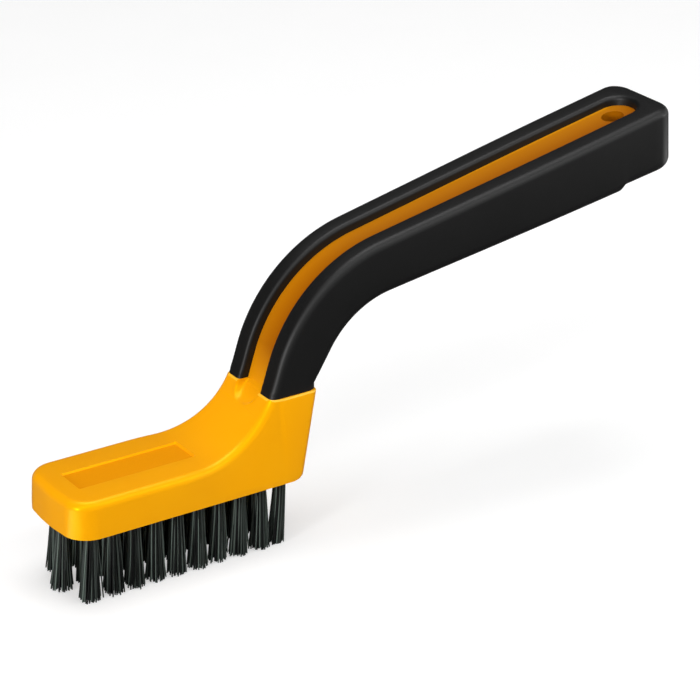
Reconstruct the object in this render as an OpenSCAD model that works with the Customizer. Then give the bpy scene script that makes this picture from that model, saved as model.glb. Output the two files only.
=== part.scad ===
// Grout brush: one stiff orange moulding (head, neck and the core of the handle), a black
// soft grip moulded around that core, and tufts of nylon bristle that flat metal anchors
// hold in blind holes under the head.
// +X runs from the nose to the butt of the handle and +Z is up. The origin lies in the
// plane of the bristle tips, at the tip of the middle row's sixth tuft from the nose.

/* [Head] */
// Length of the head's underside, from nose to heel
head_l = 70.9; // [66:0.1:90]
// Width of the head at its underside
head_w = 30; // [26:0.5:36]
// Height of the head's flat top above its underside
head_h = 10.3; // [9.8:0.1:14]
// Corner radius of the nose, seen from above
nose_r = 7.5; // [4:0.5:9]
// How far the middle of the nose stands ahead of its corners
nose_bow = 0.5; // [0.1:0.1:1.5]
// How much each wall leans in from the underside to the top of the head
draft = 0.3; // [0.1:0.1:0.8]
// Radius of the rounded top edges of head and neck
edge_r = 2.4; // [1:0.1:2.8]
// Radius along the bottom of the heel
heel_r = 2; // [0.8:0.1:2.4]
// Radius of the upright corners at the heel
back_r = 2.2; // [2:0.1:4]

/* [Sunken field on the head] */
// Length of the sunken field
field_l = 34.9; // [20:0.1:36]
// Width of the sunken field
field_w = 10.3; // [6:0.1:16]
// Depth of the sunken field
field_d = 0.5; // [0.2:0.1:1]
// Distance from the nose to the sunken field
field_gap = 7.2; // [5:0.1:12]

/* [Neck] */
// Distance from the heel forward to where the neck starts to rise
neck_l = 31.2; // [28:0.1:36]
// Radius of the hollow sweep from the head up into the neck
sweep_r = 25; // [22:0.5:30]
// Height of the ledge where the grip starts, above the head's underside
ledge_h = 23.7; // [20:0.1:25]
// Depth of the ledge from front to back
ledge_d = 15.3; // [13:0.1:17]
// Width of the neck at the ledge
ledge_w = 23.8; // [21:0.1:26]
// How far the ledge stands proud of the grip
ledge_step = 0.3; // [0.1:0.1:0.6]

/* [Handle] */
// Distance from the heel to the end of the butt
reach = 126.4; // [110:0.2:150]
// Steepest slope of the handle's front, in degrees
rise_a = 72; // [66:1:76]
// Length of the straight between the neck's sweep and the bend
rise_l = 4.5; // [2:0.1:8]
// Radius of the bend along the top
bend_r = 44; // [36:0.5:50]
// Slope of the straight handle along the top, in degrees
top_a = 11.7; // [8:0.1:16]
// Slope of the underside where it leaves the ledge, in degrees
under_rise_a = 58; // [54:1:62]
// Radius of the bend along the underside
under_r = 28; // [24:0.5:34]
// Slope of the straight handle along the underside, in degrees
under_a = 9.3; // [6:0.1:12]
// Height of the handle where the bend along the top ends
bend_t = 15.8; // [14:0.1:18]
// Width of the handle at the butt
butt_w = 26.9; // [23:0.1:30]
// Corner radius of the butt, seen from above
butt_r = 5.5; // [3:0.5:7]
// How far the top of the butt leans back towards the head
butt_lean = 1.4; // [0.4:0.1:2]
// Radius of the grip's top edges
grip_top_r = 1.9; // [1:0.1:3]
// Radius of the grip's lower edges
grip_low_r = 3.1; // [2:0.1:5]
// How much shallower the last stretch of the underside is
relief_d = 1.3; // [0.5:0.1:2]
// Length of that shallower stretch
relief_l = 20; // [18:0.5:26]
// Thickness of the soft grip around the core
grip_wall = 2.6; // [2:0.1:3.2]

/* [Channel along the top of the handle] */
// Width of the channel at the neck and bend
channel_w = 10; // [8:0.1:11]
// Width of the channel near the butt
channel_butt_w = 12; // [10:0.1:13]
// Depth of the channel at the neck and bend
channel_d = 2.9; // [2:0.1:3.2]
// Depth of the channel near the butt
channel_butt_d = 2.6; // [1.8:0.1:3]
// How far the channel runs down into the neck below the ledge
channel_dip = 5; // [3:0.2:7]

/* [Hanging hole] */
// Radius of the hanging hole
hang_r = 3.2; // [2.5:0.1:4]
// Distance from the hanging hole's axis to the end of the butt
hang_gap = 12.2; // [11.5:0.1:14]

/* [Bristle tufts] */
// Length of bristle that stands out of the head
trim = 20; // [12:0.5:30]
// Tufts in each of the three rows
tufts = 10; // [6:1:10]
// Distance from tuft to tuft along a row
tuft_pitch = 6.45; // [6.1:0.05:6.5]
// Distance between neighbouring rows
row_gap = 9.3; // [8:0.1:9.8]
// Distance from the heel to the last tuft of the outer rows
heel_gap = 5; // [4.4:0.1:5.6]
// Radius of each tuft hole
hole_r = 1.8; // [1.5:0.05:1.9]
// Depth of each tuft hole
hole_d = 7.5; // [6:0.1:8]
// Clearance between a tuft and the wall of its hole
hole_clear = 0.05; // [0.02:0.01:0.1]
// Radius of a tuft at its splayed tip
tip_r = 2.8; // [2:0.05:3]

/* [Anchors] */
// Thickness of an anchor strip
anchor_t = 0.5; // [0.3:0.05:0.8]
// Height of an anchor strip
anchor_h = 1.6; // [1:0.1:2.2]
// How far each end of an anchor bites into the wall of its hole
anchor_bite = 0.3; // [0.2:0.05:0.5]
// Thickness of folded bristle between an anchor and the end of its hole
anchor_gap = 1; // [0.6:0.1:1.5]

/* [Hidden] */
row_names = ["left", "centre", "right"];

function two_digits(i) = str(i < 10 ? "0" : "", i);
function tuft_name(row, i) = str("tuft_", row_names[row], "_", two_digits(i));
function anchors_name(row) = str("anchors_", row_names[row]);

orange = "#F5A50A";
black = "#232323";
bristle = "#1C211F";
steel = "#B9BDC1";

// Places along X, counted from the tip of the middle row's sixth tuft
tufts_to_origin = 6;
heel_x = heel_gap + tuft_pitch / 2 + (tufts - tufts_to_origin) * tuft_pitch;
nose_x = heel_x - head_l;
butt_x = heel_x + reach;
sweep_x = heel_x - neck_l;

// Seats, overlaps and sampling of the curved surfaces
over = 1;
sweep_steps = 9;
bend_steps = 8;
round_steps = 4;
butt_steps = 5;
straight_steps = 4;
relief_steps = 3;
corner_steps = 6;
heel_steps = 3;
core_steps = 2;
end_steps = 5;
end_a = 78;
dip_share = 0.94;
lean_run = 7;
lip_h = 1.5;
cap_over = 3.3;
relief_ramp = 2.5;
widen_from = 30.6;
widen_to = 104;
cap_share = 0.4;
core_r = 1.4;
core_end_gap = 4;
core_dip_a = 18;
cut_deeper = 0.3;
cut_proud = 3;
fine = 48;

function mix(a, b, f) = a + (b - a) * f;
function clamp(f) = min(1, max(0, f));
function ease(f) = clamp(f) * clamp(f) * (3 - 2 * clamp(f));
function unit(v) = v / norm(v);
function at(p, a, d) = [p[0] + d * cos(a), p[1] + d * sin(a)];

// Side view of the front and top: [x, height above the head's underside] and the slope
function sweep_pt(a) = [sweep_x + sweep_r * sin(a), head_h + sweep_r * (1 - cos(a))];
function sweep_angle(h) = acos(1 - (h - head_h) / sweep_r);
ledge_a = sweep_angle(ledge_h);
ledge_front = sweep_pt(ledge_a);
ledge_back = [ledge_front[0] + ledge_d, ledge_h];
bend_start = at(sweep_pt(rise_a), rise_a, rise_l);
bend_mid = at(bend_start, rise_a - 90, bend_r);
function bend_pt(a) = at(bend_mid, a + 90, bend_r);
bend_end = bend_pt(top_a);
function top_z(x) = bend_end[1] + (x - bend_end[0]) * tan(top_a);

// Side view of the underside: a steep straight, a bend and a long straight
under_start = [ledge_back[0] - ledge_step, ledge_h + lip_h];
function under_z(x) = bend_end[1] - bend_t + (x - bend_end[0]) * tan(under_a);
under_corner_x = (under_z(0) - under_start[1] + under_start[0] * tan(under_rise_a))
    / (tan(under_rise_a) - tan(under_a));
under_corner = [under_corner_x, under_z(under_corner_x)];
under_tangent = under_r * tan((under_rise_a - under_a) / 2);
under_bend_start = at(under_corner, under_rise_a, -under_tangent);
under_mid = at(under_bend_start, under_rise_a - 90, under_r);
function under_bend_pt(a) = at(under_mid, a + 90, under_r);
function relief(x) = relief_d * ease((x - butt_x + relief_l) / relief_ramp);

// Width of grip and channel, and the channel's depth, by distance along the handle
function widen(x) = ease((x - bend_end[0] + widen_from) / widen_to);
function grip_half(x) = mix(ledge_w / 2 - ledge_step, butt_w / 2, widen(x));
function channel_half(x) = mix(channel_w, channel_butt_w, widen(x)) / 2;
function channel_depth(x) = mix(channel_d, channel_butt_d, widen(x));

// Stations of the handle: [point on the top, point on the underside, half width]
function station(t, b) = [t, b, grip_half(t[0])];
ledge_station = [
    ledge_front + [ledge_step, 0], ledge_back - [ledge_step, 0], ledge_w / 2 - ledge_step
];
function bend_station(k) = let (f = k / bend_steps) station(
    bend_pt(mix(rise_a, top_a, f)), under_bend_pt(mix(under_rise_a, under_a, f))
);
straight_top_l = butt_x - relief_l - bend_end[0];
straight_low_l = butt_x - relief_l - under_bend_pt(under_a)[0];
function straight_station(f) =
    let (xt = bend_end[0] + f * straight_top_l, xb = under_bend_pt(under_a)[0] + f * straight_low_l)
    station([xt, top_z(xt)], [xb, under_z(xb)]);
function butt_station(x) =
    let (t = x - butt_lean * pow((x - butt_x + relief_l) / relief_l, 2))
    station([t, top_z(t)], [x, under_z(x) + relief(x)]);
rounding_x = butt_x - butt_r;
handle_stations = concat(
    [ledge_station],
    [station(sweep_pt((ledge_a + rise_a) / 2), under_start)],
    [station(sweep_pt(rise_a), (under_start + under_bend_start) / 2)],
    [for (k = [0:bend_steps]) bend_station(k)],
    [for (k = [1:straight_steps]) straight_station(k / straight_steps)],
    [for (k = [1:relief_steps]) butt_station(butt_x - relief_l + k / relief_steps * relief_ramp)],
    [butt_station(butt_x - hang_gap)],
    [butt_station(rounding_x)]
);

// Outline of a section: a rectangle with rounded corners, from lo to hi along the section
function arc(y, z, r, a, steps) = [for (k = [0:steps]) [
    y + r * cos(a + 90 * k / steps), z + r * sin(a + 90 * k / steps)
]];
function outline(half, lo, hi, low_r, top_r, steps) = concat(
    arc(half - low_r, lo + low_r, low_r, -90, steps),
    arc(half - top_r, hi - top_r, top_r, 0, steps),
    arc(top_r - half, hi - top_r, top_r, 90, steps),
    arc(low_r - half, lo + low_r, low_r, 180, steps)
);
function place(shape, s) = let (u = unit(s[0] - s[1]))
    [for (p = shape) [s[1][0] + u[0] * p[1], p[0], s[1][1] + u[1] * p[1]]];
function height(s) = norm(s[0] - s[1]);

// A solid skin over a row of rings that all have the same number of points
module skin(rings) {
    n = len(rings[0]);
    last = (len(rings) - 1) * n;
    polyhedron(
        points = [for (ring = rings, p = ring) p],
        faces = concat(
            [[for (i = [0:n - 1]) i]],
            [for (k = [0:len(rings) - 2], i = [0:n - 1])
                [k * n + i, (k + 1) * n + i, (k + 1) * n + (i + 1) % n]],
            [for (k = [0:len(rings) - 2], i = [0:n - 1])
                [k * n + i, (k + 1) * n + (i + 1) % n, k * n + (i + 1) % n]],
            [[for (i = [0:n - 1]) last + n - 1 - i]]
        ),
        convexity = 8
    );
}

// The grip's outer skin, with its rounded butt
function grip_ring(s) = place(
    outline(s[2], 0, height(s), grip_low_r, grip_top_r, round_steps), s
);
function butt_ring(a) =
    let (s = butt_station(rounding_x + butt_r * sin(a)), pull = 1 - cos(a))
    place(outline(
        s[2] - butt_r * pull, grip_low_r * pull, height(s) - grip_top_r * pull,
        grip_low_r, grip_top_r, round_steps
    ), s);
module grip_skin() {
    skin(concat(
        [for (s = handle_stations) grip_ring(s)],
        [for (k = [1:butt_steps]) butt_ring(90 * k / butt_steps)]
    ));
}

// The core: it fills the grip and its top is the floor of the channel
function core_ring(s) = place(outline(
    s[2] - grip_wall, grip_wall, height(s) - channel_depth(s[0][0]), core_r, core_r, core_steps
), s);
function neck_station(a) =
    let (p = sweep_pt(a), f = (p[1] - heel_r) / (ledge_h - heel_r))
    [p, [mix(heel_x, ledge_back[0], f), p[1]], ledge_w / 2 - ledge_step];
module core() {
    skin(concat(
        [for (f = [1, 0.5]) core_ring(neck_station(ledge_a - f * core_dip_a))],
        [for (s = handle_stations) if (s[0][0] < rounding_x - over) core_ring(s)],
        [core_ring(butt_station(butt_x - core_end_gap))]
    ));
}

// The room of the channel, with a round end in the neck and one around the hanging hole
function channel_ring(s, half) = let (h = height(s)) place(
    [
        [half, h - channel_depth(s[0][0]) - cut_deeper], [half, h + cut_proud],
        [-half, h + cut_proud], [-half, h - channel_depth(s[0][0]) - cut_deeper]
    ], s
);
dip_a = channel_dip * 180 / (PI * sweep_r);
hang_x = butt_x - hang_gap;
hang_half = channel_half(hang_x);
module channel_room() {
    skin(concat(
        [for (k = [0:end_steps]) let (a = end_a * (1 - k / end_steps)) channel_ring(
            neck_station(ledge_a - dip_a * (1 - dip_share * (1 - sin(a)))), channel_w / 2 * cos(a)
        )],
        [for (s = handle_stations) if (s[0][0] < hang_x - over) channel_ring(s, channel_half(s[0][0]))],
        [for (k = [0:end_steps]) let (a = end_a * k / end_steps) channel_ring(
            butt_station(hang_x + hang_half * sin(a)), hang_half * cos(a)
        )]
    ));
}

module hang_hole() {
    translate([hang_x, 0, (top_z(hang_x) + under_z(hang_x)) / 2])
        rotate([0, -top_a, 0])
            cylinder(r = hang_r, h = 2 * bend_t + cut_proud, center = true, $fn = fine);
}

// Head and neck: the outline seen from above is carried up the walls and over the top edge.
// Each outline point is [x and y on the underside, x and y at the top, inward direction,
// height, slope, share of the top edge's radius]. The back's top edge is cut away later.
half_w = head_w / 2;
cap_z = ledge_h + cap_over;
cap_a = sweep_angle(cap_z);
cap_back = mix(heel_x, ledge_back[0], (cap_z - edge_r - heel_r) / (ledge_h - heel_r));
lean_x = sweep_x - lean_run;
function top_half(x) =
    mix(half_w, ledge_w / 2 + draft, ease((x - lean_x) / (ledge_front[0] - lean_x)));
nose_mid = [nose_x + nose_bow + nose_r, half_w - nose_r];
function level_pt(x, y, in) = [[x, y], [x, y], in, head_h, 0, 1];
front_pts = [for (f = [0, 0.5, 1]) level_pt(
    nose_x + nose_bow * f * f, f * nose_mid[1], [1, 0]
)];
corner_pts = [for (k = [1:corner_steps]) let (a = 180 - 90 * k / corner_steps) level_pt(
    nose_mid[0] + nose_r * cos(a), nose_mid[1] + nose_r * sin(a), [-cos(a), -sin(a)]
)];
side_pts = [for (x = [lean_x, (lean_x + sweep_x) / 2]) [
    [x, half_w], [x, top_half(x)], [0, -1], head_h, 0, 1
]];
under_back_x = heel_x - back_r - heel_r;
neck_pts = [for (k = [0:sweep_steps]) let (f = k / sweep_steps, p = sweep_pt(cap_a * f)) [
    [mix(sweep_x, under_back_x - over, f), half_w], [p[0], top_half(p[0])], [0, -1], p[1], cap_a * f, 1
]];
back_mid = [heel_x - back_r, half_w - back_r];
cap_mid = [cap_back - back_r, ledge_w / 2 + draft - back_r];
back_pts = [for (k = [0:round_steps]) let (a = 90 - 90 * k / round_steps) [
    [back_mid[0] + back_r * cos(a), back_mid[1] + back_r * sin(a)],
    [cap_mid[0] + back_r * cos(a), cap_mid[1] + back_r * sin(a)], [-cos(a), -sin(a)], cap_z, 0,
    cap_share
]];
half_outline = concat(front_pts, corner_pts, side_pts, neck_pts, back_pts);

// A low level lies under the heel's rounding, and only the heel's own points move with it
function low_level(a) = [for (p = half_outline) [
    p[0][0] - (p[0][0] > under_back_x ? heel_r * (1 - sin(a)) : 0), p[0][1], heel_r * (1 - cos(a))
]];
function high_level(a) = [for (p = half_outline) let (
    in = draft + edge_r * (1 - cos(a)) * p[5], down = edge_r * (1 - sin(a))
) [
    p[1][0] + p[2][0] * in + down * sin(p[4]), p[1][1] + p[2][1] * in, p[3] - down * cos(p[4])
]];
function whole(level) = concat(level, [for (i = [len(level) - 1:-1:1]) [
    level[i][0], -level[i][1], level[i][2]
]]);
levels = concat(
    [for (k = [0:heel_steps]) whole(low_level(90 * k / heel_steps))],
    [for (k = [0:round_steps]) whole(high_level(90 * k / round_steps))]
);
module head_and_neck() {
    n = len(levels[0]);
    half = (n - 1) / 2;
    up = (len(levels) - 1) * n;
    polyhedron(
        points = [for (level = levels, p = level) p],
        faces = concat(
            [for (i = [0:half - 1]) [i, n - i - 1, i + 1]],
            [for (i = [1:half - 1]) [i, n - i, n - i - 1]],
            [for (k = [0:len(levels) - 2], i = [0:n - 1])
                [k * n + i, k * n + (i + 1) % n, (k + 1) * n + (i + 1) % n]],
            [for (k = [0:len(levels) - 2], i = [0:n - 1])
                [k * n + i, (k + 1) * n + (i + 1) % n, (k + 1) * n + i]],
            [for (i = [0:half - 1]) [up + i, up + i + 1, up + n - i - 1]],
            [for (i = [1:half - 1]) [up + i, up + n - i - 1, up + n - i]]
        ),
        convexity = 8
    );
}

// Tufts: the rows, and the place of tuft i of a row, counted from the nose
function tuft_x(row, i) = (i - tufts_to_origin + (row == 1 ? 0 : 0.5)) * tuft_pitch;
function tuft_y(row) = (row - 1) * row_gap;
root_r = hole_r - hole_clear;
anchor_l = 2 * (hole_r + anchor_bite);

// An anchor lies across its hole inside the fold of its tuft
module anchor(row, i) {
    translate([tuft_x(row, i), tuft_y(row), hole_d - anchor_gap - anchor_h / 2])
        cube([anchor_t, anchor_l, anchor_h], center = true);
}

module raised() {
    translate([0, 0, trim]) children();
}

// One moulding: head with its holes, neck with its ledge, and the core of the handle
module body() {
    color(orange) raised() difference() {
        union() {
            difference() {
                head_and_neck();
                translate([nose_x, -head_w, ledge_h])
                    cube([head_l + reach, 2 * head_w, cap_over + over]);
                channel_room();
                translate([nose_x + field_gap, -field_w / 2, head_h - field_d])
                    cube([field_l, field_w, field_d + over]);
            }
            core();
        }
        hang_hole();
        for (row = [0:2], i = [1:tufts]) {
            translate([tuft_x(row, i), tuft_y(row), -over])
                cylinder(r = hole_r, h = hole_d + over, $fn = fine);
            anchor(row, i);
        }
    }
}

// The soft grip wraps the sides, the underside and the butt of the core
module grip() {
    color(black) raised() difference() {
        grip_skin();
        core();
        channel_room();
        hang_hole();
    }
}

module anchors(row) {
    color(steel) raised() for (i = [1:tufts]) anchor(row, i);
}

// A tuft fills its hole, is folded around its anchor and splays towards its tip
module tuft(row, i) {
    color(bristle) difference() {
        translate([tuft_x(row, i), tuft_y(row), 0]) {
            cylinder(r1 = tip_r, r2 = root_r, h = trim, $fn = fine);
            translate([0, 0, trim]) cylinder(r = root_r, h = hole_d, $fn = fine);
        }
        raised() anchor(row, i);
    }
}

body();
grip();
for (row = [0:2]) anchors(row);
for (row = [0:2], i = [1:tufts]) tuft(row, i);
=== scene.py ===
# %% [markdown]
# # A grout brush
#
# The brush has one stiff orange moulding (head, neck and the core of the handle), a black
# soft grip around that core, and thirty tufts of nylon under the head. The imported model
# is loaded first. It gives the frame that all pieces keep to: +X runs from the nose to the
# butt, +Z is up, and the bristle tips end at Z = 0.

# %% Load the frame
import math
import random

import bmesh
import bpy
from mathutils import Matrix, Vector


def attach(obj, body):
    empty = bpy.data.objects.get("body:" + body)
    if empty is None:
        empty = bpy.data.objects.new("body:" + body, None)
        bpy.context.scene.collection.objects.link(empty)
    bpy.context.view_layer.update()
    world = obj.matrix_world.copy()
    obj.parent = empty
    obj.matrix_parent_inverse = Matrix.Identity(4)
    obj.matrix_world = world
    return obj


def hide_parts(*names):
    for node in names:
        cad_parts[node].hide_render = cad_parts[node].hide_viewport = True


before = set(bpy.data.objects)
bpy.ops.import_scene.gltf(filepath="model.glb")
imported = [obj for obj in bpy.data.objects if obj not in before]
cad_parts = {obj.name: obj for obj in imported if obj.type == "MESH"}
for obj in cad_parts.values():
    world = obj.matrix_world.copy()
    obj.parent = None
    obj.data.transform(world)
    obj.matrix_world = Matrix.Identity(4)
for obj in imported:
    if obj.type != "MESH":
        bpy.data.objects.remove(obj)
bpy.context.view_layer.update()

# %% [markdown]
# ## The camera
#
# The camera stands where the photographer's stood: left of the brush, well in front and
# above, with a long lens. Its place could be found by trial, but the straight edges of the
# head and handle give it more closely, so it was worked out from them. It is written as
# steps from the foot of the nose in the camera's own directions.

# %% Camera
PICTURE = 700
FOCAL_PIXELS = 2800
SENSOR_MM = 36
CLIP_NEAR, CLIP_FAR = 0.05, 20
YAW, TILT, ROLL = (math.radians(angle) for angle in (-33.732, 24.41, 0.202))
NOSE_FOOT = Vector((-37.175, 0, 20))
# Millimetres to the right, up and back from the foot of the nose to the lens
FROM_NOSE = Vector((79.227, 45.361, 729.652))

back = Vector((math.sin(YAW) * math.cos(TILT), -math.cos(YAW) * math.cos(TILT), math.sin(TILT)))
level = Vector((math.cos(YAW), math.sin(YAW), 0))
upward = back.cross(level)
right = math.cos(ROLL) * level + math.sin(ROLL) * upward
up = math.cos(ROLL) * upward - math.sin(ROLL) * level
turn = Matrix((right, up, back)).transposed()
place = (turn @ FROM_NOSE + NOSE_FOOT) / 1000

bpy.ops.object.camera_add()
camera = bpy.context.object
camera.name = "photo_camera"
camera.matrix_world = Matrix.Translation(place) @ turn.to_4x4()
camera.data.sensor_width = SENSOR_MM
camera.data.lens = SENSOR_MM * FOCAL_PIXELS / PICTURE
camera.data.clip_start, camera.data.clip_end = CLIP_NEAR, CLIP_FAR
bpy.context.scene.camera = camera
bpy.context.scene.view_settings.view_transform = "Standard"
print("camera at", [round(value, 3) for value in place], "lens", camera.data.lens)

# %% [markdown]
# ## Small helpers for materials
#
# Colours are written as the hex values that a paint program shows. Blender computes with
# linear light, so one function converts them. A second one adds a node, sets it and links
# it, which keeps each material down to the choices that matter.

# %% Colour and node helpers
def linear(hex_colour):
    """Turn an sRGB hex value into the linear colour that Blender computes with"""
    channels = [int(hex_colour[i:i + 2], 16) / 255 for i in (1, 3, 5)]
    return [c / 12.92 if c <= 0.04045 else ((c + 0.055) / 1.055) ** 2.4 for c in channels] + [1]


def add_node(tree, kind, links=(), **settings):
    """Add a shader node: settings that name a socket set it, and the others set the node itself"""
    node = tree.nodes.new("ShaderNode" + kind)
    for name, value in settings.items():
        socket = name.replace("_", " ")
        if socket in node.inputs:
            node.inputs[socket].default_value = value
        else:
            setattr(node, name, value)
    for name, source in dict(links).items():
        tree.links.new(source, node.inputs[name])
    return node


def new_material(name):
    """A material with no nodes yet, and its node tree"""
    material = bpy.data.materials.new(name)
    material.use_nodes = True
    material.node_tree.nodes.clear()
    return material, material.node_tree


def show(tree, shader):
    """Link a shader to the material's output"""
    add_node(tree, "OutputMaterial", {"Surface": shader.outputs[0]})


print("pure orange in linear light", [round(c, 3) for c in linear("#FFA500")])

# %% [markdown]
# ## Floor, backdrop and light
#
# A product photograph on white. Two long strip softboxes hang above and in front of the
# brush, one towards the butt and one past the nose, so every rounded edge along the handle
# carries a pale line. A wide box overhead lights the top. Two small boxes stand low at the
# sides, one for the nose and one for the bristle.
#
# The world and the paper are white for the camera and for reflections, and darker in the
# light they shed. So much white would veil the glossy sides. Duller plastic would hide the
# veil, but its edges would lose their shine. So three dark cards stand behind, to the left
# and on the floor, as photographers do with black things. Two small cards on the floor glow
# by themselves, though they are no lamps: only reflections see them, and they draw the
# upright bands on nose and butt.

# %% World
WORLD_LIGHT = 0.1


def seen_by_eye_or_gloss(tree):
    """1 for camera, glossy and transmission rays and 0 for the light that is shed"""
    ray = add_node(tree, "LightPath").outputs
    seen = add_node(tree, "Math", {0: ray["Is Camera Ray"], 1: ray["Is Glossy Ray"]},
                    operation="MAXIMUM")
    return add_node(tree, "Math", {0: seen.outputs[0], 1: ray["Is Transmission Ray"]},
                    operation="MAXIMUM").outputs[0]


world = bpy.data.worlds.new("white_studio")
bpy.context.scene.world = world
world.use_nodes = True
tree = world.node_tree
tree.nodes.clear()
strength = add_node(tree, "MapRange", {"Value": seen_by_eye_or_gloss(tree)},
                    To_Min=WORLD_LIGHT, To_Max=1)
sky = add_node(tree, "Background", {"Strength": strength.outputs[0]}, Color=(1, 1, 1, 1))
add_node(tree, "OutputWorld", {"Surface": sky.outputs[0]})
print("world gives", WORLD_LIGHT, "of its white as light")

# %% Lamps
MIDDLE = Vector((0.05, 0, 0.04))
# The two ends of each lamp's long axis in metres from the middle, its width and its watts
SOFTBOXES = {
    "right_strip_softbox": ((0.85, -0.63, 0.5), (0.03, -0.65, 0.87), 0.4, 3.1),
    "left_strip_softbox": ((-0.03, -0.65, 0.88), (-0.9, -0.55, 0.7), 0.4, 2.8),
    "top_softbox": ((-0.3, 0.15, 1.2), (0.5, 0.15, 1.2), 0.7, 8.4),
    "nose_softbox": ((-1.16, -0.42, 0.03), (-1.1, -0.4, 0.4), 0.25, 9),
    "bristle_softbox": ((1.0, -0.5, 0.02), (1.0, -0.5, 0.3), 0.25, 3),
}


def softbox(name, first_end, last_end, width, watts):
    """A rectangular area lamp: its long axis joins two points, and it faces the brush"""
    first, last = Vector(first_end), Vector(last_end)
    outward = ((first + last) / 2).normalized()
    along = last - first
    along = (along - outward * along.dot(outward)).normalized()
    bpy.ops.object.light_add(type="AREA")
    lamp = bpy.context.object
    lamp.name = name
    lamp.data.shape = "RECTANGLE"
    lamp.data.size, lamp.data.size_y = (last - first).length, width
    lamp.data.energy = watts
    axes = Matrix((along, outward.cross(along), outward)).transposed()
    lamp.matrix_world = Matrix.Translation(MIDDLE + (first + last) / 2) @ axes.to_4x4()


for name, box in SOFTBOXES.items():
    softbox(name, *box)

# %% Materials of the cards
FELT_FIBRES, CARD_THREADS = 400, 300
felt, tree = new_material("Black felt card")
# Felt has no gloss at all, so it stays an even dark grey in every reflection
fibres = add_node(tree, "TexNoise", Scale=FELT_FIBRES, Detail=3)
pile = add_node(tree, "Mix", {"Factor": fibres.outputs[0]}, data_type="RGBA",
                A=linear("#505050"), B=linear("#606060"))
show(tree, add_node(tree, "BsdfPrincipled", {"Base Color": pile.outputs["Result"]},
                    Roughness=1, Specular_IOR_Level=0))
glowing_card_skin, tree = new_material("White card, glowing")
# A card that glows by itself, though it is no lamp: in reflections it shows as a bright band with soft edges
threads = add_node(tree, "TexNoise", Scale=CARD_THREADS, Detail=2)
lit = add_node(tree, "MapRange", {"Value": threads.outputs[0]}, To_Min=3.6, To_Max=4.4)
show(tree, add_node(tree, "BsdfPrincipled", {"Emission Strength": lit.outputs[0]},
                    Base_Color=(0, 0, 0, 1), Emission_Color=(1, 1, 1, 1), Roughness=1,
                    Specular_IOR_Level=0))
print("materials of the cards:", felt.name, "and", glowing_card_skin.name)

# %% Cards that only reflections see
BEHIND = Vector((0.45, 0.78, 0.44)).normalized()
TO_LEFT = Vector((-0.7, 0.68, 0.25)).normalized()
UPWARDS = Vector((0, 0, 1))
CARD_AWAY = 1.5
# Cards on the floor lie just above it, the glowing ones on top of the felt
FELT_Z, GLOWING_CARD_Z = 0.0004, 0.0008
# The two sides of each card in metres, its middle, its direction from the brush, its material
CARDS = {
    "dark_card_behind": ((2.4, 2.4), MIDDLE + BEHIND * CARD_AWAY, BEHIND, felt),
    "dark_card_left": ((2, 2.4), MIDDLE + TO_LEFT * CARD_AWAY, TO_LEFT, felt),
    "dark_card_below": ((1.6, 1.6), Vector((0, 0, FELT_Z)), UPWARDS, felt),
    "white_card_nose": ((0.1, 0.056), Vector((-0.116, -0.02, GLOWING_CARD_Z)), UPWARDS, glowing_card_skin),
    "white_card_butt": ((0.09, 0.12), Vector((0.365, -0.03, GLOWING_CARD_Z)), UPWARDS, glowing_card_skin),
}


def gloss_card(name, sides, centre, outward, material):
    """A rectangle of card that only reflections see"""
    bpy.ops.mesh.primitive_plane_add(size=1)
    card = bpy.context.object
    card.name = name
    bpy.ops.object.mode_set(mode="EDIT")
    bpy.ops.transform.resize(value=(sides[0], sides[1], 1), center_override=(0, 0, 0))
    bpy.ops.object.mode_set(mode="OBJECT")
    card.matrix_world = Matrix.Translation(centre) @ outward.to_track_quat("Z", "Y").to_matrix().to_4x4()
    card.visible_camera = card.visible_diffuse = card.visible_shadow = False
    card.data.materials.append(material)


for name, card in CARDS.items():
    gloss_card(name, *card)
print(len(CARDS), "cards stand where only reflections see them")

# %% Floor
FLOOR_SIDE, FLOOR_Z = 6, -0.0001
PAPER_GLOW, PAPER_MOTTLE = 0.5, 30
bpy.ops.mesh.primitive_plane_add(size=FLOOR_SIDE, location=(0, 0, FLOOR_Z))
floor = bpy.context.object
floor.name = "studio_floor"
paper, tree = new_material("Pale paper, lit from behind")
# Matt paper: no gloss, and a faint mottle that is too pale to see as a pattern
where = add_node(tree, "TexCoord").outputs["Object"]
mottle = add_node(tree, "TexNoise", {"Vector": where}, Scale=PAPER_MOTTLE, Detail=4)
tint = add_node(tree, "Mix", {"Factor": mottle.outputs[0]}, data_type="RGBA",
                A=linear("#C6C6C6"), B=linear("#CACACA"))
glow = add_node(tree, "MapRange", {"Value": seen_by_eye_or_gloss(tree)},
                To_Min=0, To_Max=PAPER_GLOW)
sheet = add_node(tree, "BsdfPrincipled",
                 {"Base Color": tint.outputs["Result"], "Emission Strength": glow.outputs[0]},
                 Roughness=1, Specular_IOR_Level=0, Emission_Color=(1, 1, 1, 1))
# From below the paper is clear, so the underside of the head can be looked at
below = add_node(tree, "NewGeometry").outputs["Backfacing"]
clear = add_node(tree, "BsdfTransparent").outputs[0]
show(tree, add_node(tree, "MixShader", {0: below, 1: sheet.outputs[0], 2: clear}))
floor.data.materials.append(paper)
print("floor of", FLOOR_SIDE, "m")

# %% [markdown]
# ## Orange polypropylene
#
# Household brush bodies are moulded in polypropylene. It looks a little waxy: the gloss is
# satin, and its tint has no blue, so the highlights are yellow and not white. The colour
# drifts a little where the melt flowed, and the skin of the mould leaves a fine grain. The
# real grain is about 0.1 mm, too fine for this picture, so it is drawn at 0.35 mm.
#
# Down in the channel the orange is deeper. This is painted shade, standing in for the shade that
# the black strips cast on the floor. A picture could carry it, but it is worked out from the
# height and from the distance to the middle plane. The floor of the label field and the edge
# of the ledge have materials of their own.

# %% Orange material
GRAIN_MM, FLOW_MM = 0.35, 14
GRAIN_HIGH = 0.0001
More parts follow.
